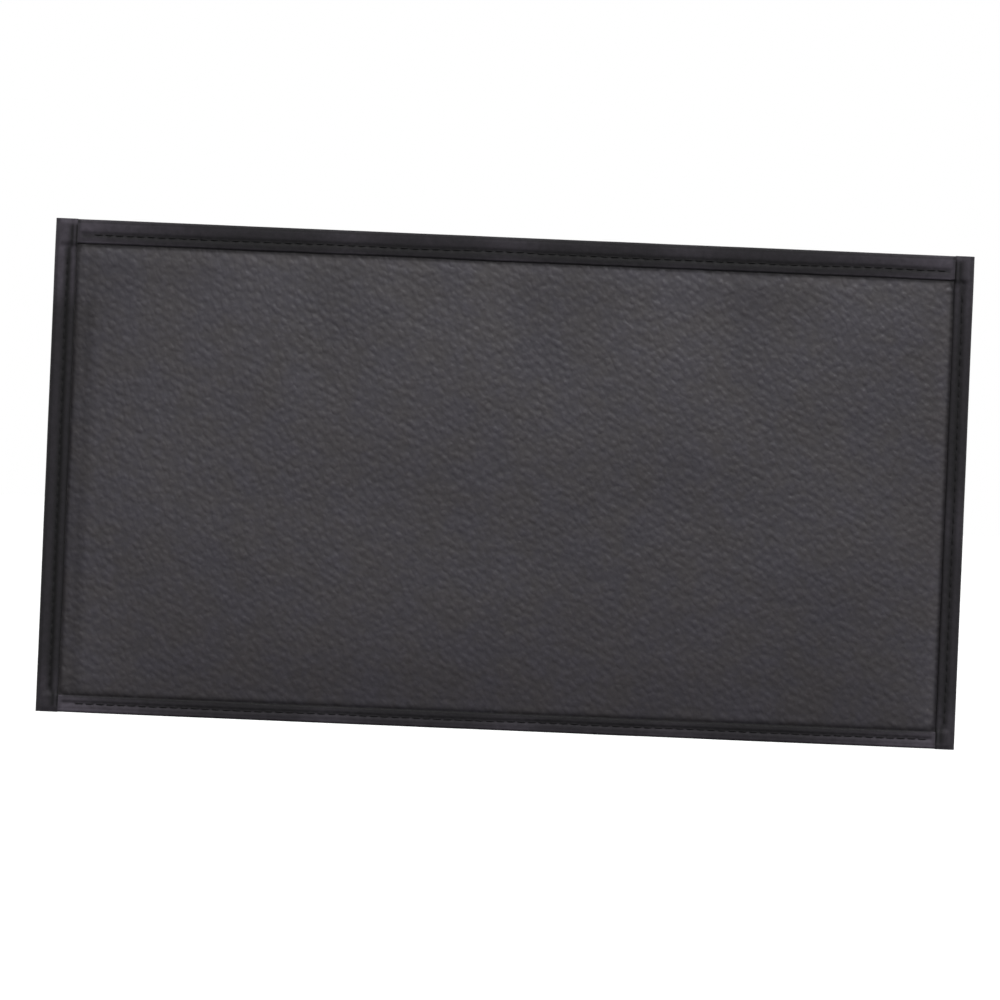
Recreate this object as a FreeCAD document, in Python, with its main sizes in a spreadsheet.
"""Wall punch pad: a board-backed foam striking pad in a sewn cover, hung on a hidden two-rail bracket.

Axes: X is the pad's width, Z is up, and the wall is the plane Y = 0 with the pad on its -Y side.
"Depth" is the distance out from the wall, so depth = -Y. A piece's back is its side towards the wall.
The origin is on the wall plane, at the middle of the wall rail's row of screw holes. Lengths are in
millimetres.
"""

import FreeCAD
import Part
import Sketcher
import os

V = FreeCAD.Vector
AXIS_X, AXIS_Y, AXIS_Z = V(1, 0, 0), V(0, 1, 0), V(0, 0, 1)
FULL_TURN = 6.283185307179586
TAN_HALF_BEND = 0.41421356  # tangent of half the rails' 45 degree bend

os.makedirs("parts", exist_ok=True)
doc = FreeCAD.newDocument("WallPunchPad")
sheet = doc.addObject("Spreadsheet::Sheet", "Params")
aliases = []
pieces = []


# ---------------------------------------------------------------- lengths tied to the sheet
class Length:
    """A length: its value, and the sheet expression that gives it."""

    def __init__(self, value, text=None):
        self.value = float(value)
        self.text = text or repr(self.value)

    def _mix(self, other, sign, swap=False):
        left, right = (as_length(other), self) if swap else (self, as_length(other))
        a, b = left.value, right.value
        value = {"+": a + b, "-": a - b, "*": a * b, "/": a / b if b else 0.0}[sign]
        return Length(value, "(" + left.text + " " + sign + " " + right.text + ")")

    def __add__(self, other):
        return self._mix(other, "+")

    def __sub__(self, other):
        return self._mix(other, "-")

    def __rsub__(self, other):
        return self._mix(other, "-", True)

    def __mul__(self, other):
        return self._mix(other, "*")

    def __rmul__(self, other):
        return self._mix(other, "*", True)

    def __truediv__(self, other):
        return self._mix(other, "/")

    def __neg__(self):
        return self._mix(-1.0, "*")


def as_length(value):
    return value if isinstance(value, Length) else Length(value)


def write_row(alias, content, note):
    aliases.append(alias)
    row = str(len(aliases))
    sheet.set("A" + row, note)
    sheet.set("B" + row, content)
    sheet.setAlias("B" + row, alias)


def par(alias, value, note):
    """A driving dimension."""
    write_row(alias, repr(float(value)), note)
    return Length(value, "Params." + alias)


def der(alias, length, note):
    """A derived length, kept in the sheet as a formula over the cells above it."""
    write_row(alias, "=" + length.text.replace("Params.", ""), note)
    return Length(length.value, "Params." + alias)


# ---------------------------------------------------------------- driving dimensions
ZERO = Length(0)

pad_width = par("pad_width", 410, "width over the bound edges")
pad_height = par("pad_height", 220, "height over the bound edges")
centre_z = par("centre_z", -42, "height of the pad's middle from the screw line")
edge_inset = par("edge_inset", 10, "bound edge to the box wall")
back_depth = par("back_depth", 5.3, "wall to the pad's back")

cover_thick = par("cover_thick", 1.0, "gusset material thickness")
skin_thick = par("skin_thick", 1.2, "front panel material thickness")
cloth_thick = par("cloth_thick", 0.6, "dust cover thickness")
cloth_inset = par("cloth_inset", 3.2, "box wall to the dust cover's edge")
cloth_corner = par("cloth_corner", 3.0, "chamfer at the dust cover's corners")
cloth_cut = par("cloth_cut", 6.0, "length of the hole cuts through cover and dust cover")
return_width = par("return_width", 40, "cover turned over the board's back")
core_gap = par("core_gap", 0.2, "core to the inside of the cover")

board_thick = par("board_thick", 9, "plywood board thickness")
board_corner = par("board_corner", 2.0, "radius of the board's corners")
base_thick = par("base_thick", 18, "firm bonded foam at the board")
mid_thick = par("mid_thick", 15, "middle foam layer")
face_thick = par("face_thick", 9.9, "soft foam layer, without its raised part")
face_gap = par("face_gap", 0.1, "soft foam layer to the seam's depth")

tape_thick = par("tape_thick", 0.8, "binding tape thickness")
tape_top = par("tape_top", 11.6, "visible width of the top binding")
tape_left = par("tape_left", 10.9, "visible width of the left binding")
tape_right = par("tape_right", 9.6, "visible width of the right binding")
tape_bottom = par("tape_bottom", 9.1, "visible width of the bottom binding")
tape_back = par("tape_back", 9.0, "width of every binding behind the edge")
tape_butt = par("tape_butt", 0.2, "gap where two bindings meet")
fold_gap = par("fold_gap", 0.02, "binding to the faces it is folded over")
seam_inset = par("seam_inset", 2.0, "bound edge to the seam's raw edge")
mitre_gap = par("mitre_gap", 0.06, "half of the gap at each gusset corner")
mitre_margin = par("mitre_margin", 5, "mitre cut past the gusset's inner and outer edges")
mitre_reach = par("mitre_reach", 30, "mitre cut past the pad's bound edge")
mitre_cut = par("mitre_cut", 400, "length of the mitre cut through the depth")

puff_gap = par("puff_gap", 0.3, "binding to the raised face")
puff_step = par("puff_step", 2.5, "width of the face's rolled edge")
puff_rise = par("puff_rise", 1.8, "height of the rolled edge")
crown_inset = par("crown_inset", 52, "width of the crown's slope")
crown_rise = par("crown_rise", 6.2, "height of the crown above the panel's flange")
hollow_start = par("hollow_start", 0.5, "hollow's start behind the front panel")
hollow_foot = par("hollow_foot", 1.6, "raised face's edge to the hollow's foot")
hollow_roll = par("hollow_roll", 0.9, "extra inset of the hollow at the rolled edge")
hollow_crown = par("hollow_crown", 0.2, "extra inset of the hollow at the crown")
puff_foot = par("puff_foot", 1.9, "raised face's edge to the raised foam's foot")
puff_roll = par("puff_roll", 1.3, "extra inset of the foam at the rolled edge")
puff_crown = par("puff_crown", 0.6, "extra inset of the foam at the crown")
puff_play = par("puff_play", 0.15, "raised foam to the inside of the front panel")

bar_thick = par("bar_thick", 2.2, "rail thickness")
bar_long = par("bar_long", 280, "rail length")
bar_leg = par("bar_leg", 20, "height of a rail's screwed leg")
bar_step = par("bar_step", 2.8, "offset of a rail's hooking leg")
bar_hook = par("bar_hook", 13.2, "height of a rail's hooking leg")
bar_rest = par("bar_rest", 0.3, "wedge clearance between the hooked rails")
bar_bend = par("bar_bend", 0.8, "radius at the rails' bends")
bar_corner = par("bar_corner", 1.5, "radius at the rails' corners")
wall_hole = par("wall_hole", 5.5, "diameter of the wall screw holes")
outer_pitch = par("outer_pitch", 240, "distance between the outer wall screw holes")
inner_pitch = par("inner_pitch", 80, "distance between the inner wall screw holes")

screw_pitch_out = par("screw_pitch_out", 250, "distance between the outer pad rail screws")
screw_pitch_in = par("screw_pitch_in", 90, "distance between the inner pad rail screws")
screw_thread = par("screw_thread", 4.0, "thread diameter of the pad rail screws")
screw_head = par("screw_head", 8.0, "head diameter of the pad rail screws")
screw_head_high = par("screw_head_high", 2.0, "head height of the pad rail screws")
screw_long = par("screw_long", 11.0, "length of the pad rail screws under the head")
screw_pilot = par("screw_pilot", 3.2, "pilot holes in the board for the pad rail screws")
screw_clear = par("screw_clear", 4.6, "clearance holes for the pad rail screws")
head_bevel = par("head_bevel", 1.2, "bevel round every screw head")
point_long = par("point_long", 2.0, "length of every screw's point")
point_radius = par("point_radius", 0.5, "radius at the tip of every screw's point")
cross_reach = par("cross_reach", 2.2, "screw's axis to the end of each cross slot")
cross_half = par("cross_half", 0.45, "half width of each cross slot")
cross_deep = par("cross_deep", 1.2, "depth of the cross slots")

foot_wide = par("foot_wide", 22, "bumper diameter at its base")
foot_x = par("foot_x", 160, "bumper distance from the middle")
foot_up = par("foot_up", 20, "bumper height above the box's lower wall")
foot_bore = par("foot_bore", 3.8, "bumper screw hole")
foot_head = par("foot_head", 7.0, "bumper screw head diameter")
foot_head_high = par("foot_head_high", 1.8, "bumper screw head height")
foot_screw = par("foot_screw", 3.5, "bumper screw thread diameter")
foot_screw_long = par("foot_screw_long", 11.0, "bumper screw length under the head")
foot_pilot = par("foot_pilot", 2.8, "pilot holes in the board for the bumper screws")
foot_seat = par("foot_seat", 3.2, "wall to the seat of the bumper screw's head")
foot_rim = par("foot_rim", 1.0, "wall to the start of the bumper's bevel")
foot_taper = par("foot_taper", 0.6, "bumper's loss of radius up to the bevel")
foot_end = par("foot_end", 1.6, "bumper's loss of radius at the wall")
foot_mouth = par("foot_mouth", 0.6, "room round the screw head at the wall")
foot_floor = par("foot_floor", 0.3, "room round the screw head at its seat")

staple_wide = par("staple_wide", 10, "staple crown width")
staple_wire = par("staple_wire", 0.6, "staple wire thickness")
staple_leg = par("staple_leg", 7, "staple leg length")
cover_staple_inset = par("cover_staple_inset", 34.0, "box wall to the cover's staples")
dust_staple_inset = par("dust_staple_inset", 5.6, "box wall to the dust cover's staples")
dust_staple_proud = par("dust_staple_proud", 0.4, "dust cover's staples above the cloth")

# outlines and depths that several pieces share
half_w = der("half_w", pad_width / 2, "half the width over the bound edges")
half_h = der("half_h", pad_height / 2, "half the height over the bound edges")
box_w = der("box_w", half_w - edge_inset, "half width of the box")
box_h = der("box_h", half_h - edge_inset, "half height of the box")
core_w = der("core_w", box_w - cover_thick - core_gap, "half width of the board and foam")
core_h = der("core_h", box_h - cover_thick - core_gap, "half height of the board and foam")
seam_w = der("seam_w", half_w - seam_inset, "half width to the seam's raw edge")
seam_h = der("seam_h", half_h - seam_inset, "half height to the seam's raw edge")
top_z = der("top_z", centre_z + half_h, "top bound edge")
low_z = der("low_z", centre_z - half_h, "bottom bound edge")

return_back = der("return_back", back_depth + cloth_thick, "depth of the turned-over cover's back")
board_back = der("board_back", return_back + cover_thick, "depth of the board's back")
base_back = der("base_back", board_back + board_thick, "depth of the firm foam's back")
mid_back = der("mid_back", base_back + base_thick, "depth of the middle foam's back")
face_back = der("face_back", mid_back + mid_thick, "depth of the soft foam's back")
flange_back = der(
    "flange_back", face_back + face_thick + face_gap - cover_thick, "depth of the gussets' flange"
)
seam_depth = der("seam_depth", flange_back + cover_thick, "depth where flange meets front panel")
skin_front = der("skin_front", seam_depth + skin_thick, "depth of the panel flange's front")
fold_mid = der("fold_mid", (flange_back + skin_front) / 2, "depth of the middle of the fold")
fold_in = der("fold_in", (skin_front - flange_back) / 2 + fold_gap, "inner radius of the fold")
fold_out = der("fold_out", fold_in + tape_thick, "outer radius of the fold")
doc.recompute()

# the raised face's outline, just inside the bindings
face_left = -half_w + tape_left + puff_gap
face_right = half_w - tape_right - puff_gap
face_low = low_z + tape_bottom + puff_gap
face_high = top_z - tape_top - puff_gap

# heights on the wall rail
leg_low, leg_high = -(bar_leg / 2), bar_leg / 2
hook_high = leg_high + bar_step + bar_hook
# turned over, the pad rail's step comes down on the wall rail's upper edge
pad_rail_z = leg_high + hook_high + bar_step - bar_rest

# (x, z) of the pad rail's screws and of the bumpers
screw_spots = [
    (pitch * side, pad_rail_z)
    for pitch in (screw_pitch_out, screw_pitch_in)
    for side in (-0.5, 0.5)
]
foot_spots = [(foot_x * side, centre_z - box_h + foot_up) for side in (-1.0, 1.0)]

# side of the pad: (runs along X, direction outwards, visible width of its binding)
SIDES = {
    "top": (True, 1.0, tape_top),
    "bottom": (True, -1.0, tape_bottom),
    "left": (False, -1.0, tape_left),
    "right": (False, 1.0, tape_right),
}


# ---------------------------------------------------------------- bodies and sketches
def require(passed, message):
    if not passed:
        raise RuntimeError(message)


def new_body(name):
    return doc.addObject("PartDesign::Body", name)


def as_piece(obj, label):
    """Label an object and have it exported under that label."""
    obj.Label = label
    pieces.append(obj)
    return obj


def drive(obj, prop, length):
    """Set a property, and tie it to the sheet where its length comes from there."""
    length = as_length(length)
    setattr(obj, prop, length.value)
    if "Params." in length.text:
        obj.setExpression(prop, length.text)


def sketch(body, name, role, offset=None):
    """XZ_Plane: local (X, Z), offset = depth. YZ_Plane: local (-depth, Z), offset = X.
    XY_Plane: local (X, -depth), offset = Z."""
    sk = body.newObject("Sketcher::SketchObject", name)
    plane = [f for f in body.Origin.OriginFeatures if f.Role == role][0]
    sk.AttachmentSupport = [(plane, "")]
    sk.MapMode = "FlatFace"
    if offset is not None:
        sk.AttachmentOffset = FreeCAD.Placement(V(0, 0, offset.value), FreeCAD.Rotation())
        sk.setExpression("AttachmentOffset.Base.z", offset.text)
    return sk


def bind(sk, kind, args, length):
    index = sk.addConstraint(Sketcher.Constraint(kind, *args, length.value))
    name = "c" + str(index)
    sk.renameConstraint(index, name)
    if "Params." in length.text:
        sk.setExpression("Constraints." + name, length.text)


def arc_between(start, end, centre, radius):
    """The arc that runs anticlockwise from start to end."""
    angles = []
    for point in (start, end):
        spoke = point - centre
        angles.append(spoke.getAngle(AXIS_X) * (1 if spoke.y >= 0 else -1))
    if angles[1] < angles[0]:
        angles[1] += FULL_TURN
    return Part.ArcOfCircle(Part.Circle(centre, AXIS_Z, radius), *angles)


def loop(sk, points):
    """A closed outline. Each item is (x, y), or (x, y, r, cx, cy, ccw, held) where an arc of radius r
    about (cx, cy) runs from this point to the next, and held is the axis its two ends are held along."""
    points = [tuple(as_length(a) if k < 5 else a for k, a in enumerate(p)) for p in points]
    first = sk.GeometryCount
    count = len(points)
    for i, item in enumerate(points):
        after = points[(i + 1) % count]
        start = V(item[0].value, item[1].value, 0)
        end = V(after[0].value, after[1].value, 0)
        if len(item) == 2:
            sk.addGeometry(Part.LineSegment(start, end), False)
        else:
            centre = V(item[3].value, item[4].value, 0)
            if not item[5]:
                start, end = end, start
            sk.addGeometry(arc_between(start, end, centre, item[2].value), False)

    def vertex(i, last):
        """The vertex number at the start or the end of piece i. A clockwise arc is stored reversed."""
        if len(points[i]) == 2 or points[i][5]:
            return 2 if last else 1
        return 1 if last else 2

    for i in range(count):
        j = (i + 1) % count
        ends = (first + i, vertex(i, True), first + j, vertex(j, False))
        sk.addConstraint(Sketcher.Constraint("Coincident", *ends))
    for i, item in enumerate(points):
        arc = item if len(item) > 2 else points[i - 1]
        held = arc[6] if len(arc) > 2 else "XY"
        start = (-1, 1, first + i, vertex(i, False))
        if "X" in held:
            bind(sk, "DistanceX", start, item[0])
        if "Y" in held:
            bind(sk, "DistanceY", start, item[1])
        if len(item) > 2:
            bind(sk, "Radius", (first + i,), item[2])
            bind(sk, "DistanceX", (-1, 1, first + i, 3), item[3])
            bind(sk, "DistanceY", (-1, 1, first + i, 3), item[4])


def rectangle(sk, x0, y0, x1, y1):
    loop(sk, [(x0, y0), (x1, y0), (x1, y1), (x0, y1)])


def circle(sk, x, y, radius):
    x, y = as_length(x), as_length(y)
    shape = Part.Circle(V(x.value, y.value, 0), AXIS_Z, radius.value)
    index = sk.addGeometry(shape, False)
    bind(sk, "DistanceX", (-1, 1, index, 3), x)
    bind(sk, "DistanceY", (-1, 1, index, 3), y)
    bind(sk, "Radius", (index,), radius)


# ---------------------------------------------------------------- features
def extrude(body, kind, name, sk, length, both, reverse=False):
    feature = body.newObject("PartDesign::" + kind, name)
    feature.Profile = sk
    if both:
        feature.SideType = "Symmetric"
    feature.Reversed = reverse
    drive(feature, "Length", length)
    sk.Visibility = False
    doc.recompute()
    return feature


def pad(body, name, sk, length, both=False):
    return extrude(body, "Pad", name, sk, length, both)


def pocket(body, name, sk, length, both=False, reverse=False):
    before = body.Shape.Volume
    extrude(body, "Pocket", name, sk, length, both, reverse)
    require(body.Shape.Volume < before - 1e-6, body.Label + " " + name + " cut nothing")


def drill(body, prefix, depth, length, groups):
    """Round holes along Y, cut both ways from a depth. Each group is (spots, diameter)."""
    sk = sketch(body, prefix + "Sketch", "XZ_Plane", depth)
    for spots, diameter in groups:
        for x, z in spots:
            circle(sk, x, z, diameter / 2)
    pocket(body, prefix + "s", sk, length, both=True)


def revolve(body, name, points):
    """Turn an outline, given as (radius, y), about the Y axis."""
    sk = sketch(body, name + "Profile", "XY_Plane")
    loop(sk, points)
    feature = body.newObject("PartDesign::Revolution", name + "Turned")
    feature.Profile = sk
    feature.ReferenceAxis = (sk, ["V_Axis"])
    feature.Angle = 360
    sk.Visibility = False
    doc.recompute()


def slab(body, prefix, half_wide, half_high, depth, thick):
    """A flat block about the pad's middle, with its back at a depth."""
    sk = sketch(body, prefix + "Sketch", "XZ_Plane", depth)
    rectangle(sk, -half_wide, centre_z - half_high, half_wide, centre_z + half_high)
    return pad(body, prefix + "Pad", sk, thick)


def edges_along(feature, axis, keep=None):
    """Names of the straight edges along an axis, kept where keep(middle, length) passes."""
    names = []
    for i, edge in enumerate(feature.Shape.Edges):
        if len(edge.Vertexes) != 2 or not isinstance(edge.Curve, Part.Line):
            continue
        start, end = edge.Vertexes[0].Point, edge.Vertexes[1].Point
        span = end - start
        if abs(abs(span.dot(axis)) - span.Length) > 1e-6 * max(span.Length, 1):
            continue
        if keep is None or keep((start + end) * 0.5, span.Length):
            names.append("Edge" + str(i + 1))
    return names


def dress(body, kind, name, base, edges, size):
    """A fillet or a chamfer on named edges of the base feature."""
    require(edges, body.Label + " " + name + " found no edge")
    before = len(body.Shape.Faces)
    feature = body.newObject("PartDesign::" + kind, name)
    feature.Base = (base, edges)
    drive(feature, "Radius" if kind == "Fillet" else "Size", size)
    doc.recompute()
    require(len(body.Shape.Faces) > before, body.Label + " " + name + " changed nothing")
    return feature


def face_loft(body, prefix, kind, stations):
    """Straight lofts through rectangles, each given as (inset from the raised face's edge, depth)."""
    sections = []
    for i, (inset, depth) in enumerate(stations):
        sk = sketch(body, prefix + str(i), "XZ_Plane", depth)
        rectangle(
            sk, face_left + inset, face_low + inset, face_right - inset, face_high - inset
        )
        sections.append(sk)
    doc.recompute()
    before = body.Shape.Volume
    feature = body.newObject("PartDesign::" + kind, prefix + "Loft")
    feature.Profile = sections[0]
    feature.Sections = sections[1:]
    feature.Ruled = True
    for sk in sections:
        sk.Visibility = False
    doc.recompute()
    change = body.Shape.Volume - before
    if kind == "SubtractiveLoft":
        change = -change
    require(change > 1, body.Label + " " + prefix + " loft did nothing")


# ---------------------------------------------------------------- rails
# A bent strip: a screwed leg flat on its surface, a 45 degree step, and a hooking leg standing off it.
bend_slack = bar_thick * TAN_HALF_BEND
# (distance from the surface the rail is screwed to, height from its screw line)
RAIL_OUTLINE = [
    (ZERO, leg_low),
    (bar_thick, leg_low),
    (bar_thick, leg_high - bend_slack),
    (bar_thick + bar_step, leg_high + bar_step - bend_slack),
    (bar_thick + bar_step, hook_high),
    (bar_step, hook_high),
    (bar_step, leg_high + bar_step),
    (ZERO, leg_high),
]


def rail(name, label, outline, low, high):
    """A rail from its (-depth, z) outline, with its bends and corners rounded."""
    body = as_piece(new_body(name), label)
    sk = sketch(body, name + "Profile", "YZ_Plane")
    loop(sk, outline)
    bar = pad(body, name + "Bar", sk, bar_long, both=True)
    bends = edges_along(bar, AXIS_X, lambda mid, span: low.value + 1 < mid.z < high.value - 1)
    bent = dress(body, "Fillet", name + "Bends", bar, bends, bar_bend)
    corners = edges_along(bent, AXIS_Y, lambda mid, span: abs(span - bar_thick.value) < 0.01)
    dress(body, "Fillet", name + "Corners", bent, corners, bar_corner)
    return body


def make_wall_rail():
    outline = [(-1.0 * out, z) for out, z in RAIL_OUTLINE]
    body = rail("WallRail", "wall_rail", outline, leg_low, hook_high)
    sk = sketch(body, "WallRailHoleSketch", "XZ_Plane", bar_thick)
    for pitch in (outer_pitch, inner_pitch):
        for side in (-0.5, 0.5):
            circle(sk, pitch * side, 0.0, wall_hole / 2)
    doc.recompute()
    before = body.Shape.Volume
    holes = body.newObject("PartDesign::Hole", "WallRailHoles")
    holes.Profile = sk
    doc.recompute()
    holes.DepthType = "ThroughAll"
    drive(holes, "Diameter", wall_hole)
    sk.Visibility = False
    doc.recompute()
    require(body.Shape.Volume < before - 1e-6, "the wall rail's holes cut nothing")


def make_pad_rail():
    """The same strip turned over, with its screwed leg on the pad's back."""
    outline = [(-1.0 * (back_depth - out), pad_rail_z - z) for out, z in RAIL_OUTLINE]
    low, high = pad_rail_z - hook_high, pad_rail_z - leg_low
    body = rail("PadRail", "pad_rail", outline, low, high)
    drill(body, "PadRailHole", back_depth, bar_thick * 2, [(screw_spots, screw_clear)])


# ---------------------------------------------------------------- board and foam
def make_board():
    body = as_piece(new_body("BackingBoard"), "backing_board")
    block = slab(body, "Board", core_w, core_h, board_back, board_thick)
    dress(body, "Fillet", "BoardCorners", block, edges_along(block, AXIS_Y), board_corner)
    pilots = [(screw_spots, screw_pilot), (foot_spots, foot_pilot)]
    drill(body, "BoardPilot", board_back, board_thick * 3, pilots)


def foam_layer(name, label, depth, thick):
    body = as_piece(new_body(name), label)
    slab(body, name, core_w, core_h, depth, thick)
    return body


def make_foam():
    foam_layer("FoamBase", "foam_base_layer", base_back, base_thick)
    foam_layer("FoamMid", "foam_mid_layer", mid_back, mid_thick)
    face = foam_layer("FoamFace", "foam_face_layer", face_back, face_thick)
    stations = [
        (puff_foot, face_back + face_thick),
        (puff_foot, seam_depth),
        (puff_step + puff_roll, skin_front + puff_rise - skin_thick - puff_play),
        (crown_inset + puff_crown, skin_front + crown_rise - skin_thick - puff_play),
    ]
    face_loft(face, "FoamPuff", "AdditiveLoft", stations)


# ---------------------------------------------------------------- sewn cover
def make_front_panel():
    """A flange with a raised face: a rolled edge, then a low crown, hollow behind."""
    body = as_piece(new_body("FrontPanel"), "front_panel")
    slab(body, "SkinFlange", seam_w, seam_h, seam_depth, skin_thick)
    raised = [
        (ZERO, skin_front),
        (puff_step, skin_front + puff_rise),
        (crown_inset, skin_front + crown_rise),
    ]
    face_loft(body, "SkinPuff", "AdditiveLoft", raised)
    hollow = [
        (hollow_foot, seam_depth - hollow_start),
        (hollow_foot, seam_depth),
        (puff_step + hollow_roll, skin_front + puff_rise - skin_thick),
        (crown_inset + hollow_crown, skin_front + crown_rise - skin_thick),
    ]
    face_loft(body, "SkinHollow", "SubtractiveLoft", hollow)


def section_point(level, depth, across):
    """A point of a side strip's section, in the sketch plane that cuts across the strip."""
    return (-1.0 * depth, across) if level else (across, -1.0 * depth)


def gusset(side):
    """One wall of the box: flange at the seam, side wall, and the return over the board's back."""
    name = "Gusset" + side.capitalize()
    level, out, _ = SIDES[side]
    body = as_piece(new_body(name), "gusset_" + side)
    if level:
        middle, wall, seam, reach = centre_z, box_h, seam_h, seam_w
        run_middle, run_half, shift = ZERO, half_w, box_w - box_h
        sk = sketch(body, name + "Profile", "YZ_Plane")
    else:
        middle, wall, seam, reach = ZERO, box_w, seam_w, seam_h
        run_middle, run_half, shift = centre_z, half_h, box_h - box_w
        sk = sketch(body, name + "Profile", "XY_Plane", centre_z)
    # (depth, distance outwards from the pad's middle)
    section = [
        (return_back, wall - return_width),
        (return_back, wall),
        (flange_back, wall),
        (flange_back, seam),
        (seam_depth, seam),
        (seam_depth, wall - cover_thick),
        (board_back, wall - cover_thick),
        (board_back, wall - return_width),
    ]
    loop(sk, [section_point(level, depth, middle + out * across) for depth, across in section])
    pad(body, name + "Strip", sk, reach * 2, both=True)

    # the mitre at each end runs through the corner of the box at 45 degrees
    sk = sketch(body, name + "MitreSketch", "XZ_Plane")
    inner, outer = wall - return_width - mitre_margin, seam + mitre_margin
    beyond = run_half + mitre_reach
    # (distance along the strip from its middle, distance outwards from the pad's middle)
    corners = [
        (inner + shift - mitre_gap, inner),
        (outer + shift - mitre_gap, outer),
        (beyond, outer),
        (beyond, inner),
    ]
    for end in (-1.0, 1.0):
        points = [(run_middle + end * along, middle + out * across) for along, across in corners]
        loop(sk, points if level else [(across, along) for along, across in points])
    pocket(body, name + "Mitre", sk, mitre_cut, both=True)
    return body


def make_gussets():
    top = gusset("top")
    drill(top, "GussetTopHole", return_back, cloth_cut, [(screw_spots, screw_clear)])
    bottom = gusset("bottom")
    drill(bottom, "GussetBottomHole", return_back, cloth_cut, [(foot_spots, foot_bore)])
    gusset("left")
    gusset("right")


def binding(side):
    """A tape folded round the seam's raw edge: a visible front leg, the fold, and a back leg."""
    name = "Binding" + side.capitalize()
    level, out, front = SIDES[side]
    body = as_piece(new_body(name), "binding_" + side)
    if level:
        middle, half = centre_z, half_h
        start = -half_w + tape_left + tape_butt
        long = half_w - tape_right - tape_butt - start
        sk = sketch(body, name + "Profile", "YZ_Plane", start)
    else:
        middle, half = ZERO, half_w
        long = pad_height
        sk = sketch(body, name + "Profile", "XY_Plane", low_z)
    bend = half - fold_out
    # (depth, distance outwards from the pad's middle, radius of an arc that starts there)
    section = [
        (fold_mid + fold_out, half - front, None),
        (fold_mid + fold_out, bend, fold_out),
        (fold_mid - fold_out, bend, None),
        (fold_mid - fold_out, half - tape_back, None),
        (fold_mid - fold_in, half - tape_back, None),
        (fold_mid - fold_in, bend, fold_in),
        (fold_mid + fold_in, bend, None),
        (fold_mid + fold_in, half - front, None),
    ]
    centre = section_point(level, fold_mid, middle + out * bend)
    points = []
    for depth, across, radius in section:
        point = section_point(level, depth, middle + out * across)
        if radius:
            # the fold bulges away from the pad's middle
            ccw = (radius is fold_out) == ((out > 0) != level)
            point += (radius, *centre, ccw, "Y" if level else "X")
        points.append(point)
    loop(sk, points)
    pad(body, name + "Strip", sk, long)


def make_dust_cover():
    body = as_piece(new_body("DustCover"), "dust_cover")
    cloth = slab(body, "Dust", box_w - cloth_inset, box_h - cloth_inset, back_depth, cloth_thick)
    dress(body, "Chamfer", "DustCorners", cloth, edges_along(cloth, AXIS_Y), cloth_corner)
    holes = [(screw_spots, screw_clear), (foot_spots, foot_bore)]
    drill(body, "DustHole", back_depth, cloth_cut, holes)


# ---------------------------------------------------------------- bumpers and fasteners
def place(obj, x, z, turn=0):
    """Move an object to (x, z), turned about Y by an angle in degrees."""
    obj.Placement = FreeCAD.Placement(V(x.value, 0, z.value), FreeCAD.Rotation(AXIS_Y, turn))
    for axis, length in (("x", x), ("z", z)):
        if "Params." in length.text:
            obj.setExpression("Placement.Base." + axis, length.text)


def copies(master, prefix, label, spots):
    """Links to one master solid, each placed by (x, z, turn), gathered into one piece."""
    links = []
    for i, (x, z, turn) in enumerate(spots):
        link = doc.addObject("App::Link", prefix + str(i + 1))
        link.setLink(master)
        link.LinkTransform = False
        place(link, x, z, turn)
        links.append(link)
    group = doc.addObject("Part::Compound", prefix + "Set")
    group.Links = links
    master.Visibility = False
    doc.recompute()
    as_piece(group, label)


def screw(name, seat_depth, thread, head, head_high, long):
    """A pan-head screw on the Y axis, its head's underside at seat_depth and its point away from
    the wall."""
    body = new_body(name)
    seat = -1.0 * seat_depth
    outline = [
        (0.0, seat + head_high),
        (head / 2 - head_bevel, seat + head_high),
        (head / 2, seat + head_high - head_bevel),
        (head / 2, seat),
        (thread / 2, seat),
        (thread / 2, seat - long + point_long),
        (point_radius, seat - long),
        (0.0, seat - long),
    ]
    revolve(body, name, outline)
    sk = sketch(body, name + "CrossSketch", "XZ_Plane", seat_depth - head_high)
    reach, half = cross_reach, cross_half
    cross = [
        (half, half), (reach, half), (reach, -half), (half, -half), (half, -reach), (-half, -reach),
        (-half, -half), (-reach, -half), (-reach, half), (-half, half), (-half, reach), (half, reach),
    ]
    loop(sk, cross)
    # reversed, the cut runs away from the wall, into the head
    pocket(body, name + "Cross", sk, cross_deep, reverse=True)
    return body


def make_rail_screws():
    seat = back_depth - bar_thick
    master = screw("RailScrew", seat, screw_thread, screw_head, screw_head_high, screw_long)
    copies(master, "PadRailScrew", "pad_rail_screws", [(x, z, 0) for x, z in screw_spots])


def bumper(side, x, z):
    """A turned rubber foot with a sunk screw hole."""
    name = "Bumper" + side.capitalize()
    body = new_body(name)
    outline = [
        (foot_bore / 2, -1.0 * back_depth),
        (foot_wide / 2, -1.0 * back_depth),
        (foot_wide / 2 - foot_taper, -1.0 * foot_rim),
        (foot_wide / 2 - foot_end, 0.0),
        (foot_head / 2 + foot_mouth, 0.0),
        (foot_head / 2 + foot_floor, -1.0 * foot_seat),
        (foot_bore / 2, -1.0 * foot_seat),
    ]
    revolve(body, name, outline)
    place(body, x, z)
    doc.recompute()
    as_piece(body, "bumper_" + side)


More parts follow.
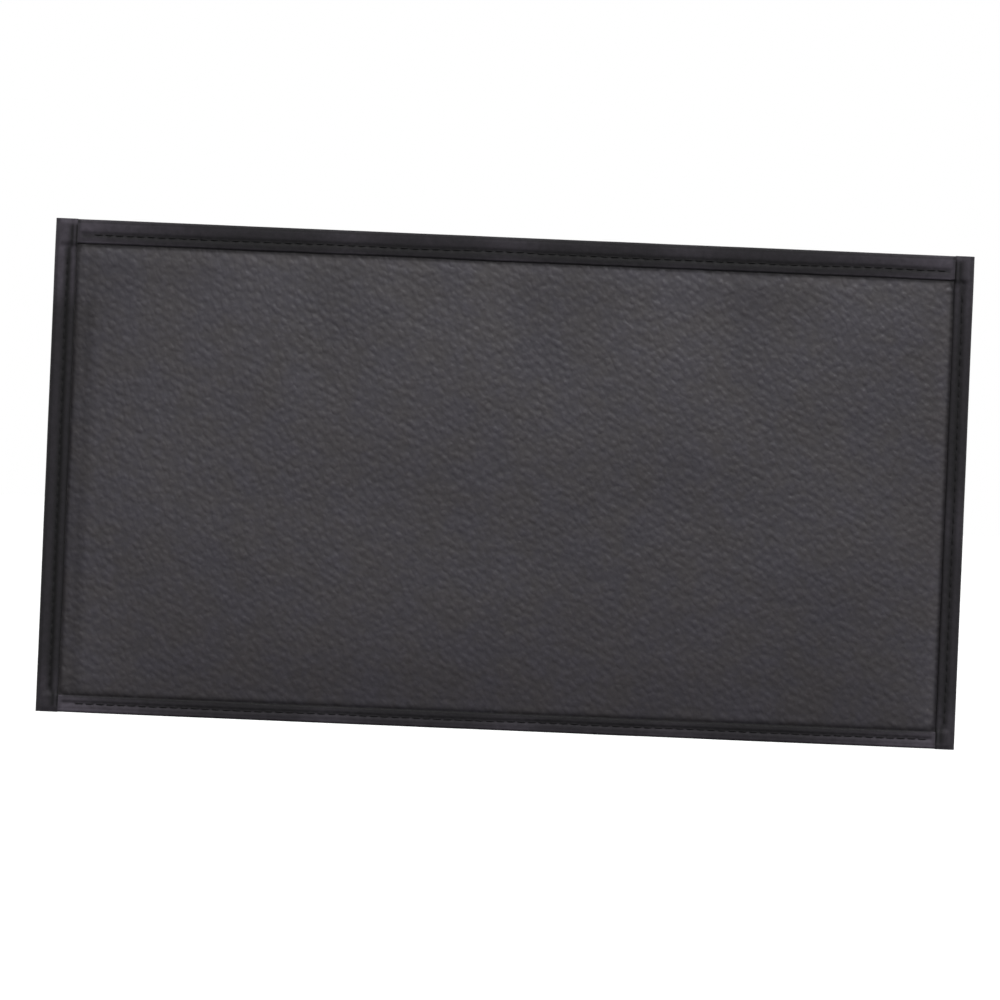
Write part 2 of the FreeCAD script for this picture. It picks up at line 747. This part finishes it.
def make_bumpers():
    for side, (x, z) in zip(("left", "right"), foot_spots):
        bumper(side, x, z)
    master = screw("FootScrew", foot_seat, foot_screw, foot_head, foot_head_high, foot_screw_long)
    copies(master, "BumperScrew", "bumper_screws", [(x, z, 0) for x, z in foot_spots])


def staple(name, crown_depth):
    """A square-wire staple with its crown along X, the crown's wall side at crown_depth."""
    body = new_body(name)
    sk = sketch(body, name + "Profile", "XY_Plane", -1.0 * staple_wire / 2)
    half = staple_wide / 2
    inside = half - staple_wire
    crown = -1.0 * crown_depth
    outline = [
        (-half, crown),
        (half, crown),
        (half, crown - staple_leg),
        (inside, crown - staple_leg),
        (inside, crown - staple_wire),
        (-inside, crown - staple_wire),
        (-inside, crown - staple_leg),
        (-half, crown - staple_leg),
    ]
    loop(sk, outline)
    pad(body, name + "Wire", sk, staple_wire)
    return body


def around(inset, across, down):
    """Spots round a rectangle inset from the box wall: evenly along the rows, then the columns."""
    wide, high = box_w - inset, box_h - inset
    spots = []
    for i in range(across):
        x = wide * (-1.0 + (2.0 * i + 1.0) / across)
        for side in (1.0, -1.0):
            spots.append((x, centre_z + side * high, 0))
    for i in range(down):
        z = centre_z + high * (-1.0 + (2.0 * i + 1.0) / down)
        for side in (1.0, -1.0):
            spots.append((side * wide, z, 90))
    return spots


def make_staples():
    master = staple("CoverStaple", return_back)
    copies(master, "CoverStapleAt", "cover_staples", around(cover_staple_inset, 10, 4))
    master = staple("DustStaple", back_depth - dust_staple_proud)
    copies(master, "DustStapleAt", "dust_cover_staples", around(dust_staple_inset, 9, 4))


# ---------------------------------------------------------------- build, check and export
make_wall_rail()
make_pad_rail()
make_board()
make_foam()
make_front_panel()
make_gussets()
for side_name in SIDES:
    binding(side_name)
make_dust_cover()
make_rail_screws()
make_bumpers()
make_staples()

doc.recompute()
for obj in doc.Objects:
    for word in ("Invalid", "Error"):
        require(word not in obj.State, obj.Name + " is " + word)
for piece in pieces:
    shape = piece.Shape
    sound = not shape.isNull() and shape.isValid() and shape.Solids
    require(sound, piece.Label + " is not a sound solid")
    shape.exportStep("parts/" + piece.Label + ".step")
